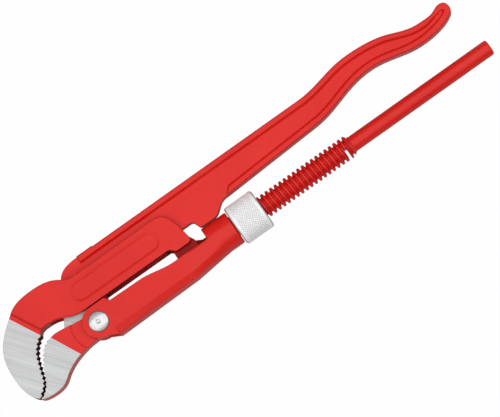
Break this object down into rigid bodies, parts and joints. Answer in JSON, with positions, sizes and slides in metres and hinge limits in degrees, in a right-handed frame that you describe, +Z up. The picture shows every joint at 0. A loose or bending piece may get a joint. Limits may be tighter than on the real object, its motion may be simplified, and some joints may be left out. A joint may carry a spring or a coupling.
{
  "type": "pipe wrench",
  "caption": "Swedish-pattern pipe wrench with S-shaped toothed jaws, a long ribbed handle, a thin rod handle and a knurled nut that sets the jaw opening.",
  "frame": {"origin": "under the middle of the wrench's bounding box, in the plane that the adjusting nut rests on when the wrench lies flat", "axes": "+X along the tail rod towards its free end, +Y in the plane of the wrench from the rod to the long handle, +Z up out of the plane of the wrench"},
  "size_m": [0.2456, 0.0462, 0.0184],
  "materials": {
    "red_coat_main": "gloss red powder coat, with bare ground steel on the jaw sides and a bare patch at the neck",
    "red_coat_hook": "gloss red powder coat, with bare ground steel on the jaw sides",
    "red_coat_link": "gloss red powder coat",
    "polished_steel": "polished",
    "zinc_steel": "bright zinc plated, diamond knurl"
  },
  "bodies": {
    "main": {"main_leg": "red_coat_main"},
    "link": {"link": "red_coat_link", "pivot_rivet": "polished_steel"},
    "hook": {"hook_leg": "red_coat_hook"},
    "nut": {"adjusting_nut": "zinc_steel"}
  },
  "joints": [
    {"name": "leg_pivot", "type": "hinge", "parent": "main", "child": "link", "pos_m": [-0.07964, -0.0089, 0.0092], "axis": [0, 0, -1], "range_deg": [0, 18]},
    {"name": "hook_slide", "type": "slide", "parent": "link", "child": "hook", "axis": [-1, 0, 0], "range_m": [0, 0.0335]},
    {"name": "nut_spin", "type": "hinge", "parent": "link", "child": "nut", "pos_m": [-0.00234, -0.0089, 0.0092], "axis": [1, 0, 0], "range_deg": [0, 5150]}
  ],
  "couplings": [
    {"joint": "nut_spin", "follows": "hook_slide", "rad_per_m": 2679.4}
  ]
}
